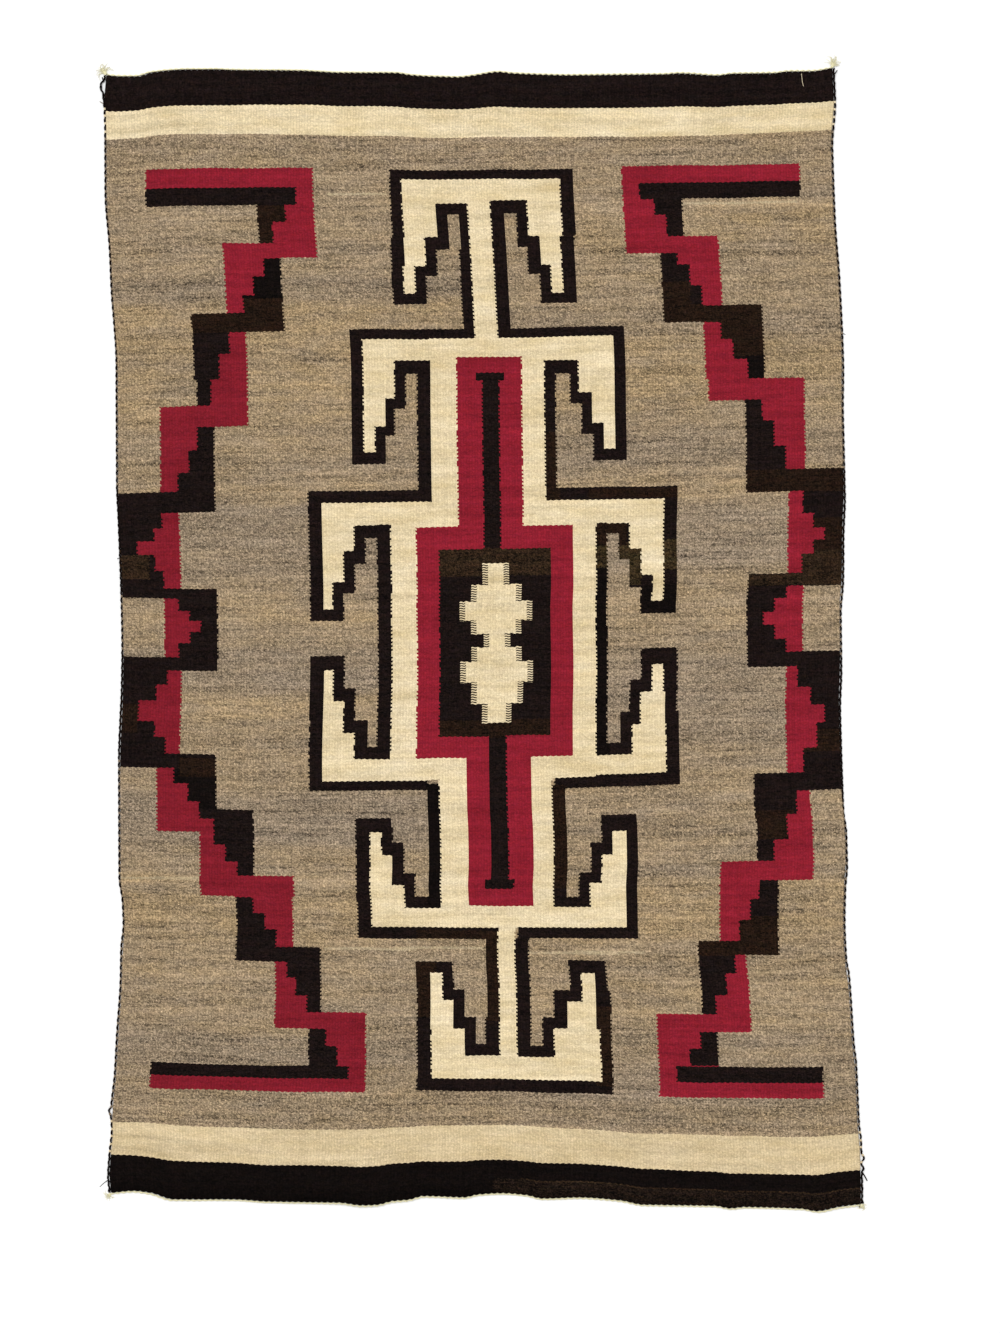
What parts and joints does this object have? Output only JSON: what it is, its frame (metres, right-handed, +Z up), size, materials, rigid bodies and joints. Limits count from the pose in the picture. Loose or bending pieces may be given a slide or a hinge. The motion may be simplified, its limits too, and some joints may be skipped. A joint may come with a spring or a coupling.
{
  "type": "woven wool rug",
  "caption": "Flat tapestry-woven wool rug with stepped red and black side figures, cream hooked centre figures, cream and black end bands, twined edge cords and corner tufts.",
  "frame": {"origin": "on the floor, under the middle of the rug's bounding box", "axes": "+X across the rug to the picture's right, +Y along the rug to the picture's top, +Z up out of the rug's face"},
  "size_m": [0.98, 1.4684, 0.003],
  "materials": {
    "tapestry_wool": "matte",
    "side_cord_wool": "matte",
    "end_cord_wool": "matte"
  },
  "bodies": {
    "root": {"tapestry": "tapestry_wool", "side_cord_left": "side_cord_wool", "side_cord_right": "side_cord_wool", "end_cord_top": "end_cord_wool", "end_cord_bottom": "end_cord_wool", "tassel_top_left": "end_cord_wool", "tassel_top_right": "end_cord_wool", "tassel_bottom_left": "end_cord_wool", "tassel_bottom_right": "end_cord_wool"}
  },
  "joints": []
}
